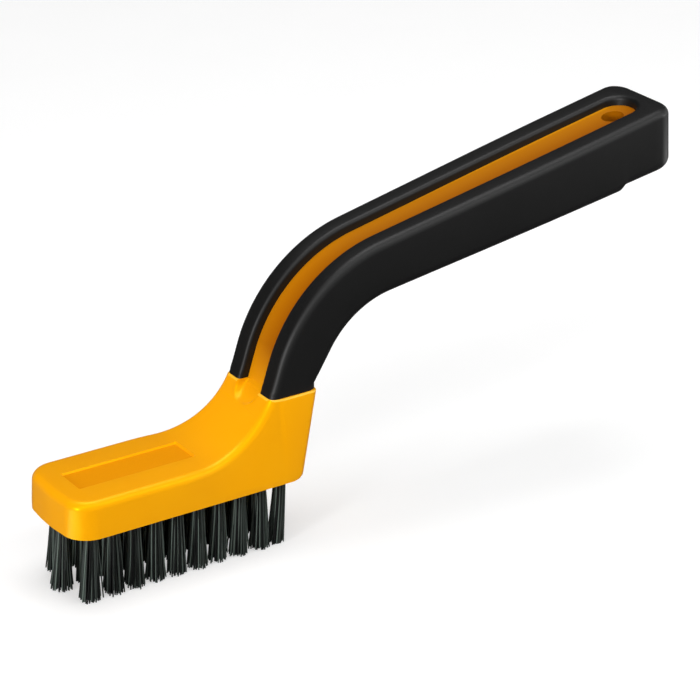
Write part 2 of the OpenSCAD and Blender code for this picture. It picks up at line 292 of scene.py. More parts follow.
# The channel's painted shade, in metres: the heights where it starts and is full, the distances from
# the middle plane where it ends and is full, and where it is weakest and full side to side
PAINTED_SHADE_FROM, PAINTED_SHADE_FULL = 0.0402, 0.054
PAINTED_SHADE_EDGE, PAINTED_SHADE_INSIDE = 0.0062, 0.0048
FAR_SIDE, NEAR_SIDE, FAR_SHARE = 0.005, -0.003, 0.7


def per_metre(size_mm):
    """A noise scale whose features are about this many millimetres across"""
    return 1000 / size_mm


polypropylene, tree = new_material("Moulded polypropylene, orange")
where = add_node(tree, "TexCoord").outputs["Object"]
flow = add_node(tree, "TexNoise", {"Vector": where}, Scale=per_metre(FLOW_MM), Detail=3)
orange = add_node(tree, "Mix", {"Factor": flow.outputs[0]}, data_type="RGBA",
                  A=linear("#F4A106"), B=linear("#F7A808"))
grain = add_node(tree, "TexNoise", {"Vector": where}, Scale=per_metre(GRAIN_MM), Detail=2)
bumps = add_node(tree, "Bump", {"Height": grain.outputs[0]}, Strength=0.02,
                 Distance=GRAIN_HIGH)
satin = add_node(tree, "MapRange", {"Value": grain.outputs[0]}, To_Min=0.27, To_Max=0.3)
axis = add_node(tree, "SeparateXYZ", {0: where}).outputs
depth = add_node(tree, "MapRange", {"Value": axis["Z"]}, From_Min=PAINTED_SHADE_FROM, From_Max=PAINTED_SHADE_FULL)
# Painted shade only between the strips, and a little more towards the near one
sideways = add_node(tree, "Math", {0: axis["Y"]}, operation="ABSOLUTE")
between = add_node(tree, "MapRange", {"Value": sideways.outputs[0]},
                   From_Min=PAINTED_SHADE_EDGE, From_Max=PAINTED_SHADE_INSIDE)
nearer = add_node(tree, "MapRange", {"Value": axis["Y"]},
                  From_Min=FAR_SIDE, From_Max=NEAR_SIDE, To_Min=FAR_SHARE)
deep = add_node(tree, "Math", {0: depth.outputs[0], 1: between.outputs[0]}, operation="MULTIPLY")
painted_shade_share = add_node(tree, "Math", {0: deep.outputs[0], 1: nearer.outputs[0]}, operation="MULTIPLY")
# A darker orange mixed in by place: painted shade in the channel
painted_channel_shade = add_node(tree, "Mix", {"Factor": painted_shade_share.outputs[0], "A": orange.outputs["Result"]},
                data_type="RGBA", B=linear("#A05503"))
show(tree, add_node(
    tree, "BsdfPrincipled",
    {"Base Color": painted_channel_shade.outputs["Result"], "Roughness": satin.outputs[0], "Normal": bumps.outputs[0]},
    IOR=1.49, Specular_IOR_Level=0.6, Specular_Tint=linear("#DCFF00")
))
print("orange grain drawn at", GRAIN_MM, "mm")

# %% Material of the sunken field
FIELD_GRAIN_MM = 0.5
field_skin, tree = new_material("Polypropylene, matt field")
# The mould is rougher where a label goes, so the floor of the field is duller.
# Its orange is also set a little darker than the head's.
# Its grain is drawn at 0.5 mm, coarser than a real one
where = add_node(tree, "TexCoord").outputs["Object"]
grain = add_node(tree, "TexNoise", {"Vector": where}, Scale=per_metre(FIELD_GRAIN_MM), Detail=3)
matt = add_node(tree, "Mix", {"Factor": grain.outputs[0]}, data_type="RGBA",
                A=linear("#E38F02"), B=linear("#E99504"))
bumps = add_node(tree, "Bump", {"Height": grain.outputs[0]}, Strength=0.25,
                 Distance=GRAIN_HIGH)
show(tree, add_node(tree, "BsdfPrincipled",
                    {"Base Color": matt.outputs["Result"], "Normal": bumps.outputs[0]},
                    Roughness=0.55, Specular_IOR_Level=0.12, Specular_Tint=linear("#FFDC50")))
print("field grain drawn at", FIELD_GRAIN_MM, "mm")

# %% Material of the ledge's edge, with a painted highlight
EDGE_FLOW_MM = 4
ledge_highlight_skin, tree = new_material("Polypropylene, edge with painted highlight")
# The ledge is where the mould of the grip closes on the orange, and it is polished for that.
# Its base colour is a paler yellow than the orange, a painted highlight, and its gloss is stronger.
# So its narrow edge catches the lamps from all sides and shows as a thin pale line
where = add_node(tree, "TexCoord").outputs["Object"]
flow = add_node(tree, "TexNoise", {"Vector": where}, Scale=per_metre(EDGE_FLOW_MM), Detail=3)
# Paler yellow than the orange: painted highlight on the ledge's edge
pale = add_node(tree, "Mix", {"Factor": flow.outputs[0]}, data_type="RGBA",
                A=linear("#FFB824"), B=linear("#FFC030"))
show(tree, add_node(tree, "BsdfPrincipled", {"Base Color": pale.outputs["Result"]},
                    Roughness=0.4, IOR=1.49, Specular_IOR_Level=1, Specular_Tint=linear("#FFFFA0")))
print("edge colour drifts in", EDGE_FLOW_MM, "mm")

# %% [markdown]
# ## Black soft grip
#
# The grip is a thermoplastic elastomer, moulded over the orange core. It is nearly matt,
# so its edges show as broad grey bands and not as sharp lines. A fine leathery grain
# breaks up the bands. It is finer than a pixel of this picture, so it is drawn at 0.45 mm.

# %% Grip material
SOFT_FLOW_MM, LEATHER_MM = 20, 0.45
elastomer, tree = new_material("Thermoplastic elastomer, black")
where = add_node(tree, "TexCoord").outputs["Object"]
flow = add_node(tree, "TexNoise", {"Vector": where}, Scale=per_metre(SOFT_FLOW_MM), Detail=4)
black = add_node(tree, "Mix", {"Factor": flow.outputs[0]}, data_type="RGBA",
                 A=linear("#0B0B0B"), B=linear("#0E0E0E"))
grain = add_node(tree, "TexNoise", {"Vector": where}, Scale=per_metre(LEATHER_MM), Detail=3)
bumps = add_node(tree, "Bump", {"Height": grain.outputs[0]}, Strength=0.2, Distance=GRAIN_HIGH)
matt = add_node(tree, "MapRange", {"Value": flow.outputs[0]}, To_Min=0.42, To_Max=0.5)
show(tree, add_node(
    tree, "BsdfPrincipled",
    {"Base Color": black.outputs["Result"], "Roughness": matt.outputs[0], "Normal": bumps.outputs[0]},
    IOR=1.5, Specular_IOR_Level=0.26
))
print("grip grain drawn at", LEATHER_MM, "mm")

# %% [markdown]
# ## Nylon bristle and steel anchors
#
# Stiff nylon filament is drawn through a die, so it shines in a narrow streak along its
# length. A fine crimp breaks up the streak, and it is drawn coarsely, at 0.4 mm. Black
# filament isn't evenly dyed: most strands are nearly black and a few are grey-green. The
# colour could follow a pattern in space, but that would give a strand several colours, so
# each strand gets one by chance. The anchors are cut from flat steel strip, with drawing
# lines along it.

# %% Bristle material
DYE_POWER, STREAK_MM, CRIMP_MM = 2.6, 0.8, 0.4
nylon, tree = new_material("Drawn nylon filament, black")
by_strand = add_node(tree, "NewGeometry").outputs["Random Per Island"]
dye = add_node(tree, "Math", {0: by_strand}, operation="POWER")
dye.inputs[1].default_value = DYE_POWER
shade = add_node(tree, "Mix", {"Factor": dye.outputs[0]}, data_type="RGBA",
                 A=linear("#030404"), B=linear("#65716A"))
where = add_node(tree, "TexCoord").outputs["Object"]
streak = add_node(tree, "TexNoise", {"Vector": where}, Scale=per_metre(STREAK_MM), Detail=2)
sheen = add_node(tree, "MapRange", {"Value": streak.outputs[0]}, To_Min=0.3, To_Max=0.5)
crimp = add_node(tree, "TexNoise", {"Vector": where}, Scale=per_metre(CRIMP_MM), Detail=1)
ripple = add_node(tree, "Bump", {"Height": crimp.outputs[0]}, Strength=0.5, Distance=GRAIN_HIGH)
show(tree, add_node(
    tree, "BsdfPrincipled",
    {"Base Color": shade.outputs["Result"], "Roughness": sheen.outputs[0], "Normal": ripple.outputs[0]},
    IOR=1.53, Specular_IOR_Level=0.3
))
print("crimp drawn at", CRIMP_MM, "mm")

# %% Steel material
SCRATCH_MM, STRETCH = 1.5, 12
steel, tree = new_material("Drawn steel strip")
where = add_node(tree, "TexCoord").outputs["Object"]
# The noise is squeezed across the strip, which leaves lines along it
lines = add_node(tree, "Mapping", {"Vector": where}, Scale=(STRETCH, 1, STRETCH))
scratch = add_node(tree, "TexNoise", {"Vector": lines.outputs[0]},
                   Scale=per_metre(SCRATCH_MM), Detail=3)
grey = add_node(tree, "Mix", {"Factor": scratch.outputs[0]}, data_type="RGBA",
                A=linear("#A9ABAD"), B=linear("#C6C8CA"))
rough = add_node(tree, "MapRange", {"Value": scratch.outputs[0]}, To_Min=0.25, To_Max=0.45)
show(tree, add_node(
    tree, "BsdfPrincipled", {"Base Color": grey.outputs["Result"], "Roughness": rough.outputs[0]},
    Metallic=1
))
for name in ("anchors_left", "anchors_centre", "anchors_right"):
    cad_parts[name].data.materials.clear()
    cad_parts[name].data.materials.append(steel)
print("materials:", [m.name for m in (polypropylene, field_skin, ledge_highlight_skin, elastomer, nylon, steel)])

# %% [markdown]
# ## Working in millimetres
#
# Blender's edit-mode tools have small built-in tolerances that suit sizes of about one.
# So each piece is modelled with one unit as one millimetre and is brought to metres at the
# end. These helpers select by place, cut one piece with another and finish a piece.

# %% Modelling helpers
SAME_POINT = 1e-3
METRE = 0.001


def only(piece):
    """Deselect everything, then select one piece and make it active"""
    if bpy.context.object and bpy.context.object.mode != "OBJECT":
        bpy.ops.object.mode_set(mode="OBJECT")
    bpy.ops.object.select_all(action="DESELECT")
    piece.select_set(True)
    bpy.context.view_layer.objects.active = piece


def pick(kind, test):
    """In edit mode, select the points, edges or faces that pass a test, and count them"""
    bpy.ops.mesh.select_mode(type=kind)
    bpy.ops.mesh.select_all(action="DESELECT")
    mesh = bmesh.from_edit_mesh(bpy.context.object.data)
    parts = {"VERT": mesh.verts, "EDGE": mesh.edges, "FACE": mesh.faces}[kind]
    found = [part for part in parts if test(part)]
    for part in found:
        part.select_set(True)
    mesh.select_flush_mode()
    bmesh.update_edit_mesh(bpy.context.object.data)
    return len(found)


def round_edges(test, radius, segments):
    """In edit mode, round the edges that pass a test, and count them"""
    count = pick("EDGE", test)
    bpy.ops.mesh.bevel(offset=radius, segments=segments, affect="EDGES")
    return count


def turn_outwards():
    """In edit mode, make all faces point outwards"""
    bpy.ops.mesh.select_all(action="SELECT")
    bpy.ops.mesh.normals_make_consistent(inside=False)


def block(name, low, high):
    """A cube brought to its size and place, left in edit mode"""
    only(floor)
    bpy.ops.mesh.primitive_cube_add(size=1)
    piece = bpy.context.object
    piece.name = name
    bpy.ops.object.mode_set(mode="EDIT")
    bpy.ops.transform.resize(value=[b - a for a, b in zip(low, high)])
    bpy.ops.transform.translate(value=[(a + b) / 2 for a, b in zip(low, high)])
    return piece


def slice_at(places):
    """Cut the faces of the piece in edit mode at these distances along X"""
    for distance in places:
        bpy.ops.mesh.select_all(action="SELECT")
        bpy.ops.mesh.bisect(plane_co=(distance, 0, 0), plane_no=(1, 0, 0), threshold=1e-4)


def apply_boolean(piece, tool, operation="DIFFERENCE"):
    """Cut the piece with a tool, or join the two, and throw the tool away"""
    change = piece.modifiers.new(operation.lower(), "BOOLEAN")
    change.operation = operation
    change.solver = "EXACT"
    change.object = tool
    only(piece)
    bpy.ops.object.modifier_apply(modifier=change.name)
    bpy.data.objects.remove(tool, do_unlink=True)


def finish_piece(piece, material, replaced, smooth_angle=32):
    """Metres, smooth shading, material, and the piece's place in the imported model"""
    only(piece)
    bpy.ops.object.mode_set(mode="EDIT")
    bpy.ops.mesh.select_all(action="SELECT")
    bpy.ops.mesh.remove_doubles(threshold=SAME_POINT)
    bpy.ops.mesh.normals_make_consistent(inside=False)
    bpy.ops.transform.resize(value=(METRE, METRE, METRE), center_override=(0, 0, 0))
    bpy.ops.object.mode_set(mode="OBJECT")
    bpy.ops.object.shade_smooth_by_angle(angle=math.radians(smooth_angle))
    piece.data.materials.clear()
    piece.data.materials.append(material)
    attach(piece, "root")
    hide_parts(replaced)
    print(piece.name, len(piece.data.polygons), "faces")


# %% [markdown]
# ## The brush's own lines
#
# Two lines seen from the side carry the whole handle: the top line, which is a hollow
# sweep of 25 mm, a short straight and a bend of 44 mm, and the line of the underside. A
# place on the handle is given by the distance along the top line from the ledge where the
# grip starts, so what is modelled as a straight bar can be bent along the two lines.

# %% Sizes in millimetres
NOSE_X, HEEL_X, BUTT_X, SWEEP_X = -36.87, 34.025, 160.425, 2.825
UNDERSIDE = 20
HEAD_WIDE, HEAD_HIGH = 29.99, 10.3
NOSE_R, NOSE_BOW, BACK_R, HEEL_R = 7.5, 0.5, 2.2, 2
DRAFT, EDGE_R, CAP_SHARE = 0.3, 2.4, 0.4
SWEEP_R, LEDGE_HIGH, LEDGE_DEEP, LEDGE_WIDE, LEDGE_STEP, LEDGE_R = 25, 23.7, 15.3, 23.8, 0.3, 0.55
RISE_A, RISE_LONG, BEND_R, TOP_A = 72, 4.5, 44, 11.7
UNDER_RISE_A, UNDER_R, UNDER_A, BEND_HIGH = 58, 28, 9.3, 15.8
LIP_HIGH, STEP_FADE = 1.5, 2
RELIEF_DEEP, RELIEF_LONG, RELIEF_RAMP = 1.3, 20, 2.5
BUTT_R, BUTT_LEAN, BUTT_DROP, DROP_LONG = 6.5, 1.4, 0.9, 7
GRIP_TOP_R, GRIP_LOW_R, GRIP_WALL, RIM_R = 2.3, 3.1, 2.6, 1.2
HANG_R, HANG_GAP = 3.2, 12.2
print("brush from nose to butt:", round(BUTT_X - NOSE_X, 1), "mm")


# %% Small maths for lines
def cosd(angle):
    return math.cos(math.radians(angle))


def sind(angle):
    return math.sin(math.radians(angle))


def mix(a, b, share):
    return a + (b - a) * share


def ease(share):
    """A smooth start and a smooth end between 0 and 1"""
    share = min(1, max(0, share))
    return share * share * (3 - 2 * share)


def onward(point, angle, distance):
    """The point that lies a distance further in a direction"""
    return Vector((point[0] + distance * cosd(angle), point[1] + distance * sind(angle)))


# %% The top line and the underside
def sweep_point(angle):
    """A point of the hollow sweep, in X and Z"""
    return Vector((SWEEP_X + SWEEP_R * sind(angle), UNDERSIDE + HEAD_HIGH + SWEEP_R * (1 - cosd(angle))))


def sweep_angle(height):
    """How far the sweep has turned at a height above the head's underside"""
    return math.degrees(math.acos(1 - (height - HEAD_HIGH) / SWEEP_R))


LEDGE_A = sweep_angle(LEDGE_HIGH)
LEDGE_FRONT = sweep_point(LEDGE_A)
LEDGE_BACK = LEDGE_FRONT + Vector((LEDGE_DEEP, 0))
BEND_START = onward(sweep_point(RISE_A), RISE_A, RISE_LONG)
BEND_MID = onward(BEND_START, RISE_A - 90, BEND_R)
BEND_END = onward(BEND_MID, TOP_A + 90, BEND_R)


def top_z(x):
    return BEND_END[1] + (x - BEND_END[0]) * math.tan(math.radians(TOP_A))


def under_z(x):
    return BEND_END[1] - BEND_HIGH + (x - BEND_END[0]) * math.tan(math.radians(UNDER_A))


UNDER_START = LEDGE_BACK + Vector((-LEDGE_STEP, LIP_HIGH))
steep, shallow = math.tan(math.radians(UNDER_RISE_A)), math.tan(math.radians(UNDER_A))
corner_x = (under_z(0) - UNDER_START[1] + UNDER_START[0] * steep) / (steep - shallow)
under_tangent = UNDER_R * math.tan(math.radians((UNDER_RISE_A - UNDER_A) / 2))
UNDER_BEND = onward((corner_x, under_z(corner_x)), UNDER_RISE_A, -under_tangent)
UNDER_MID = onward(UNDER_BEND, UNDER_RISE_A - 90, UNDER_R)
UNDER_END = onward(UNDER_MID, UNDER_A + 90, UNDER_R)

# Distances along the top line at which one form gives way to the next
S_SWEEP = SWEEP_R * math.radians(RISE_A - LEDGE_A)
S_BEND = S_SWEEP + RISE_LONG
S_STRAIGHT = S_BEND + BEND_R * math.radians(RISE_A - TOP_A)
RELIEF_X = BUTT_X - RELIEF_LONG
S_RELIEF = S_STRAIGHT + (RELIEF_X - BEND_END[0]) / cosd(TOP_A)
S_BUTT = S_RELIEF + RELIEF_LONG / cosd(TOP_A)
S_HANG = S_BUTT - HANG_GAP / cosd(TOP_A)
print("handle from the ledge to the butt along the top:", round(S_BUTT, 1), "mm")


# %% A place on the handle
def lines_at(s):
    """The point of the top line and the point of the underside at a distance along the top"""
    if s < 0:
        top = sweep_point(LEDGE_A + math.degrees(s / SWEEP_R))
        share = (top[1] - UNDERSIDE - HEEL_R) / (LEDGE_HIGH - HEEL_R)
        return top, Vector((mix(HEEL_X, LEDGE_BACK[0], share), top[1]))
    inset = Vector((LEDGE_STEP * (1 - ease(s / STEP_FADE)), 0))
    middle = (UNDER_START + UNDER_BEND) / 2
    if s <= S_SWEEP:
        share = s / S_SWEEP
        low = (LEDGE_BACK - Vector((LEDGE_STEP, 0))).lerp(UNDER_START, 2 * share) if share < 0.5 \
            else UNDER_START.lerp(middle, 2 * share - 1)
        return sweep_point(mix(LEDGE_A, RISE_A, share)) + inset, low
    if s <= S_BEND:
        share = (s - S_SWEEP) / RISE_LONG
        return onward(sweep_point(RISE_A), RISE_A, s - S_SWEEP), middle.lerp(UNDER_BEND, share)
    if s <= S_STRAIGHT:
        share = (s - S_BEND) / (S_STRAIGHT - S_BEND)
        return (onward(BEND_MID, mix(RISE_A, TOP_A, share) + 90, BEND_R),
                onward(UNDER_MID, mix(UNDER_RISE_A, UNDER_A, share) + 90, UNDER_R))
    if s <= S_RELIEF:
        share = (s - S_STRAIGHT) / (S_RELIEF - S_STRAIGHT)
        xt, xb = mix(BEND_END[0], RELIEF_X, share), mix(UNDER_END[0], RELIEF_X, share)
        return Vector((xt, top_z(xt))), Vector((xb, under_z(xb)))
    x = RELIEF_X + (s - S_RELIEF) * cosd(TOP_A)
    top_x = x - BUTT_LEAN * ((x - RELIEF_X) / RELIEF_LONG) ** 2
    drop = BUTT_DROP * max(0, (x - BUTT_X + DROP_LONG) / DROP_LONG) ** 2
    low = Vector((x, under_z(x) + RELIEF_DEEP * ease((x - RELIEF_X) / RELIEF_RAMP)))
    return Vector((top_x, top_z(top_x) - drop)), low


top, low = lines_at(S_STRAIGHT)
print("thickness at the end of the bend:", round((top - low).length, 1), "mm")

# %% [markdown]
# ## Bending a straight bar
#
# A curve with a profile could draw the handle, but its top and underside follow different
# lines and its channel has an end. So the grip is modelled as a straight bar, where edges
# are easy to round, and then every point of it is moved to its place on the handle. In the
# upper half the distance from the top counts, in the lower half the distance from the
# underside, so rounded edges keep their radius while the handle gets thicker.

# %% From the bar to the handle
BAR_HIGH, BAR_HALF = 16, 13.45
SLOT_HALF, SLOT_DEEP = 6, 2.9
# The bar has the butt's width and the ledge's channel depth, and these are the other ends
LEDGE_GRIP_HALF, LEDGE_SLOT_HALF, BUTT_SLOT_DEEP = 11.6, 5, 2.6
WIDEN_FROM, WIDEN_OVER = 30.6, 104


def bent(point, keep_width=False):
    """The place on the handle of a point of the straight bar"""
    s, y, h = point
    top, low = lines_at(s)
    upward = (top - low).normalized()
    wide = ease((top[0] - BEND_END[0] + WIDEN_FROM) / WIDEN_OVER)
    slot_deep = mix(SLOT_DEEP, BUTT_SLOT_DEEP, wide)
    if h > BAR_HIGH / 2:
        down = BAR_HIGH - h
        down = down * slot_deep / SLOT_DEEP if down < SLOT_DEEP else down - SLOT_DEEP + slot_deep
        side = top - upward * down
    else:
        side = low + upward * h
    if not keep_width:
        grip_half, slot_half = mix(LEDGE_GRIP_HALF, BAR_HALF, wide), mix(LEDGE_SLOT_HALF, SLOT_HALF, wide)
        across = abs(y)
        share = (across - SLOT_HALF) / (BAR_HALF - SLOT_HALF)
        across = across * slot_half / SLOT_HALF if share < 0 else mix(slot_half, grip_half, share)
        y = math.copysign(across, y)
    return Vector((side[0], y, side[1]))


def bend_piece(piece, keep_width=False):
    """Move every point of a straight piece to its place on the handle"""
    bpy.ops.object.mode_set(mode="OBJECT")
    for point in piece.data.vertices:
        point.co = bent(point.co, keep_width)
    piece.data.update()


def steps(first, last, spacing):
    """Evenly spaced distances, both ends left out"""
    count = max(1, round((last - first) / spacing))
    return [mix(first, last, i / count) for i in range(1, count)]


# The end of each stretch of the bar and the spacing of the slices in it
SLICES_FROM, RAMP_SLICED = -9, 2.6
STRETCHES = ((0, 0.75), (S_SWEEP, 0.5), (S_BEND, 1.3), (S_STRAIGHT, 1.25), (S_RELIEF, 6),
             (S_RELIEF + RAMP_SLICED, 0.43), (S_BUTT, 3))
SLICES, start = [], SLICES_FROM
for end, spacing in STRETCHES:
    SLICES += steps(start, end, spacing) + [end]
    start = end
print(len(SLICES), "slices along the handle")

# %% Hanging hole
HANG_X = BUTT_X - HANG_GAP
HANG_MIDDLE = Vector((HANG_X, 0, (top_z(HANG_X) + under_z(HANG_X)) / 2))
HANG_AXIS = Vector((-sind(TOP_A), 0, cosd(TOP_A)))
DRILL_SIDES, DRILL_LONG = 48, 40


def hanging_hole():
    """A cylinder through the handle, square to its top"""
    only(floor)
    bpy.ops.mesh.primitive_cylinder_add(vertices=DRILL_SIDES, radius=HANG_R, depth=DRILL_LONG)
    tool = bpy.context.object
    tilt = Matrix.Rotation(math.radians(-TOP_A), 4, "Y")
    tool.data.transform(Matrix.Translation(HANG_MIDDLE) @ tilt)
    return tool


def from_hang_axis(spot):
    """Distance of a place from the hanging hole's axis"""
    offset = spot - HANG_MIDDLE
    return (offset - HANG_AXIS * offset.dot(HANG_AXIS)).length


print("hanging hole at X", round(HANG_X, 1), "mm, radius", HANG_R, "mm")

# %% [markdown]
# ## The grip
#
# A bar with rounded edges, a channel with a round end cut in from the top, and a hollow
# where the core sits. The rim of the channel is broken by a 1.2 mm radius, which is what
# draws the thin pale lines along the two black strips in the photograph.

# %% Outer bar
def near(a, b, tolerance=0.02):
    return abs(a - b) < tolerance


def ends(edge):
    """The places of an edge's two points"""
    return [point.co for point in edge.verts]


def upright(edge):
    """True for an edge that climbs by more than a millimetre"""
    first, last = ends(edge)
    return abs(first.z - last.z) > 1


def at_x(edge, x):
    return all(near(spot.x, x) for spot in ends(edge))


def at_height(edge, height):
    return all(near(spot.z, height) for spot in ends(edge))


grip = block("grip_moulding", (0, -BAR_HALF, 0), (S_BUTT, BAR_HALF, BAR_HIGH))
round_edges(lambda edge: at_x(edge, S_BUTT) and upright(edge), BUTT_R, 10)
rim_count = round_edges(lambda edge: at_height(edge, BAR_HIGH) and not at_x(edge, 0), GRIP_TOP_R, 7)
round_edges(lambda edge: at_height(edge, 0) and not at_x(edge, 0), GRIP_LOW_R, 9)
print("top rim edges rounded:", rim_count)

# %% Channel and hollow
# How far a cutting block stands past the bar, and how far the slot goes below the channel
OVER, SLOT_PAST = 2, 0.5
SLOT_END = S_HANG + SLOT_HALF
# A little under half the width, so the two roundings don't meet in one point
ROUND_SHARE = 0.999
# The core stops inside the closed butt of the grip
BUTT_WALL = 4
CORE_HALF, CORE_END = BAR_HALF - GRIP_WALL, S_BUTT - BUTT_WALL

slot = block("slot", (-OVER, -SLOT_HALF, BAR_HIGH - SLOT_DEEP - SLOT_PAST),
             (SLOT_END, SLOT_HALF, BAR_HIGH + 2 * OVER))
round_edges(lambda edge: at_x(edge, SLOT_END) and upright(edge), SLOT_HALF * ROUND_SHARE, 16)
apply_boolean(grip, slot)


def on_channel_rim(edge):
    """True for an edge at the top of the bar that lies no further out than the slot"""
    return at_height(edge, BAR_HIGH) and not at_x(edge, 0) \
        and all(abs(spot.y) < SLOT_HALF + 0.02 and spot.x < SLOT_END + 0.02 for spot in ends(edge))


bpy.ops.object.mode_set(mode="EDIT")
rim_count = round_edges(on_channel_rim, RIM_R, 4)
core_room = block("core_room", (-OVER, -CORE_HALF, GRIP_WALL), (CORE_END, CORE_HALF, BAR_HIGH - SLOT_DEEP))
apply_boolean(grip, core_room)
print("channel rim edges rounded:", rim_count)

# %% Bend the grip and drill it
HOLE_RIM_R = 0.5
# Only the hole's lower rim is rounded: a sharp edge, at least this far below the top
RIM_BELOW, SHARP_A = 12, 50


def on_hole_rim(edge):
    """True for an edge of the hanging hole's lower rim"""
    return (all(near(from_hang_axis(spot), HANG_R, 0.03) for spot in ends(edge))
            and len(edge.link_faces) == 2 and edge.calc_face_angle(0) > math.radians(SHARP_A)
            and edge.verts[0].co.z < top_z(HANG_X) - RIM_BELOW)


only(grip)
bpy.ops.object.mode_set(mode="EDIT")
slice_at([s for s in SLICES if 0 < s < S_BUTT])
bend_piece(grip)
apply_boolean(grip, hanging_hole())
bpy.ops.object.mode_set(mode="EDIT")
hole_rim = round_edges(on_hole_rim, HOLE_RIM_R, 3)
finish_piece(grip, elastomer, "grip")
print("hole rim edges rounded:", hole_rim)

# %% [markdown]
# ## Head and neck
#
# The head starts as its own outline, seen from below. The end face is carried up level by
# level: around the heel's rounding, up the leaning walls and over the top edge, where the
# outline follows the hollow sweep up into the neck. A box with bevelled edges would be
# quicker, but its edges couldn't follow the sweep. The last face has many sides and isn't
# flat, so it is cut into strips from each point to the one opposite. The neck is modelled
# a little too high and cut off level, which leaves the ledge for the grip.

# %% Outline of the head and neck
CAP_OVER, LEAN_BEFORE, LOW_GAP = 3.3, 7, 1
CAP_HIGH = LEDGE_HIGH + CAP_OVER
CAP_A = sweep_angle(CAP_HIGH)
CAP_BACK = mix(HEEL_X, LEDGE_BACK[0], (CAP_HIGH - EDGE_R - HEEL_R) / (LEDGE_HIGH - HEEL_R))
LEAN_X = SWEEP_X - LEAN_BEFORE
HALF = HEAD_WIDE / 2
UNDER_BACK_X = HEEL_X - BACK_R - HEEL_R
CORNER_STEPS, LEAN_STEPS, NECK_STEPS, BACK_STEPS = 12, 8, 26, 8


def top_half(x):
    """Half the width at the top, which narrows from the head to the ledge"""
    return mix(HALF, LEDGE_WIDE / 2 + DRAFT, ease((x - LEAN_X) / (LEDGE_FRONT[0] - LEAN_X)))


def outline_points():
    """One side: low place, high place, inward direction, height, slope, share of the edge radius"""
    rows = [((NOSE_X + NOSE_BOW * f * f, f * (HALF - NOSE_R)),) * 2 + ((1, 0), HEAD_HIGH, 0, 1)
            for f in (0, 0.5, 1)]
    mid = (NOSE_X + NOSE_BOW + NOSE_R, HALF - NOSE_R)
    for i in range(1, CORNER_STEPS + 1):
        a = 180 - 90 * i / CORNER_STEPS
        at = (mid[0] + NOSE_R * cosd(a), mid[1] + NOSE_R * sind(a))
        rows.append((at, at, (-cosd(a), -sind(a)), HEAD_HIGH, 0, 1))
    for i in range(LEAN_STEPS):
        x = mix(LEAN_X, SWEEP_X, i / LEAN_STEPS)
        rows.append(((x, HALF), (x, top_half(x)), (0, -1), HEAD_HIGH, 0, 1))
    for i in range(NECK_STEPS + 1):
        f = i / NECK_STEPS
        p = sweep_point(CAP_A * f)
        rows.append(((mix(SWEEP_X, UNDER_BACK_X - LOW_GAP, f), HALF), (p[0], top_half(p[0])), (0, -1),
                     p[1] - UNDERSIDE, CAP_A * f, 1))
    low_mid = (HEEL_X - BACK_R, HALF - BACK_R)
    high_mid = (CAP_BACK - BACK_R, LEDGE_WIDE / 2 + DRAFT - BACK_R)
    for i in range(BACK_STEPS + 1):
        a = 90 - 90 * i / BACK_STEPS
        c, s = cosd(a), sind(a)
        rows.append(((low_mid[0] + BACK_R * c, low_mid[1] + BACK_R * s),
                     (high_mid[0] + BACK_R * c, high_mid[1] + BACK_R * s), (-c, -s), CAP_HIGH, 0, CAP_SHARE))
    return rows


HALF_OUTLINE = outline_points()
print(len(HALF_OUTLINE), "points along one side of the outline")

# %% Levels of the head and neck
HEEL_STEPS, TOP_STEPS = 3, 8


def both_sides(points):
    """The points of one side and their mirror images, round the outline"""
    return [Vector(p) for p in points] + [Vector((x, -y, z)) for x, y, z in reversed(points[1:])]


def low_level(a):
    """A level around the rounding at the bottom of the heel"""
    drop = HEEL_R * (1 - sind(a))
    return both_sides([(low[0] - (drop if low[0] > UNDER_BACK_X else 0), low[1],
                        UNDERSIDE + HEEL_R * (1 - cosd(a))) for low, *_ in HALF_OUTLINE])


def high_level(a):
    """A level around the rounding of the top edge"""
    pull, down = EDGE_R * (1 - cosd(a)), EDGE_R * (1 - sind(a))
    return both_sides([(high[0] + inward[0] * (DRAFT + pull * share) + down * sind(slope),
                        high[1] + inward[1] * (DRAFT + pull * share), UNDERSIDE + height - down * cosd(slope))
                       for _, high, inward, height, slope, share in HALF_OUTLINE])


LEVELS = [low_level(90 * i / HEEL_STEPS) for i in range(HEEL_STEPS + 1)] \
    + [high_level(90 * i / TOP_STEPS) for i in range(TOP_STEPS + 1)]
print(len(LEVELS), "levels of", len(LEVELS[0]), "points")


# %% Carrying a face up from level to level
def nearest(places, spot):
    return min(range(len(places)), key=lambda i: (places[i] - spot).length_squared)


def carry_up(old, new):
    """Extrude the selected face and move each of its points to its place on the new level"""
    bpy.ops.mesh.extrude_region_move()
    mesh = bmesh.from_edit_mesh(bpy.context.object.data)
    moves = [(point, new[nearest(old, point.co)]) for point in mesh.verts if point.select]
    for point, target in moves:
        point.co = target
    bmesh.update_edit_mesh(bpy.context.object.data)


def stack(name, levels):
    """A solid that goes through all levels, left in edit mode"""
    only(floor)
    bpy.ops.mesh.primitive_circle_add(vertices=len(levels[0]), fill_type="NGON")
    piece = bpy.context.object
    piece.name = name
    for point, target in zip(piece.data.vertices, levels[0]):
        point.co = target
    bpy.ops.object.mode_set(mode="EDIT")
    bpy.ops.mesh.select_all(action="SELECT")
    for old, new in zip(levels, levels[1:]):
        carry_up(old, new)
    return piece


def cut_across(first, last):
    """Cut a face of many sides from one of its points to another"""
    pick("VERT", lambda point: any((point.co - spot).length < SAME_POINT for spot in (first, last)))
    bpy.ops.mesh.vert_connect()


# %% Build the head and neck
LEDGE_Z = UNDERSIDE + LEDGE_HIGH
TOO_CLOSE = 0.2

moulding = stack("head_neck_and_core", LEVELS)
cap = LEVELS[-1]
for i in range(1, len(HALF_OUTLINE) - 1):
    cut_across(cap[i], cap[-i])
turn_outwards()
bpy.ops.mesh.bisect(plane_co=(0, 0, LEDGE_Z), plane_no=(0, 0, 1), use_fill=True,
                    clear_outer=True, threshold=1e-4)
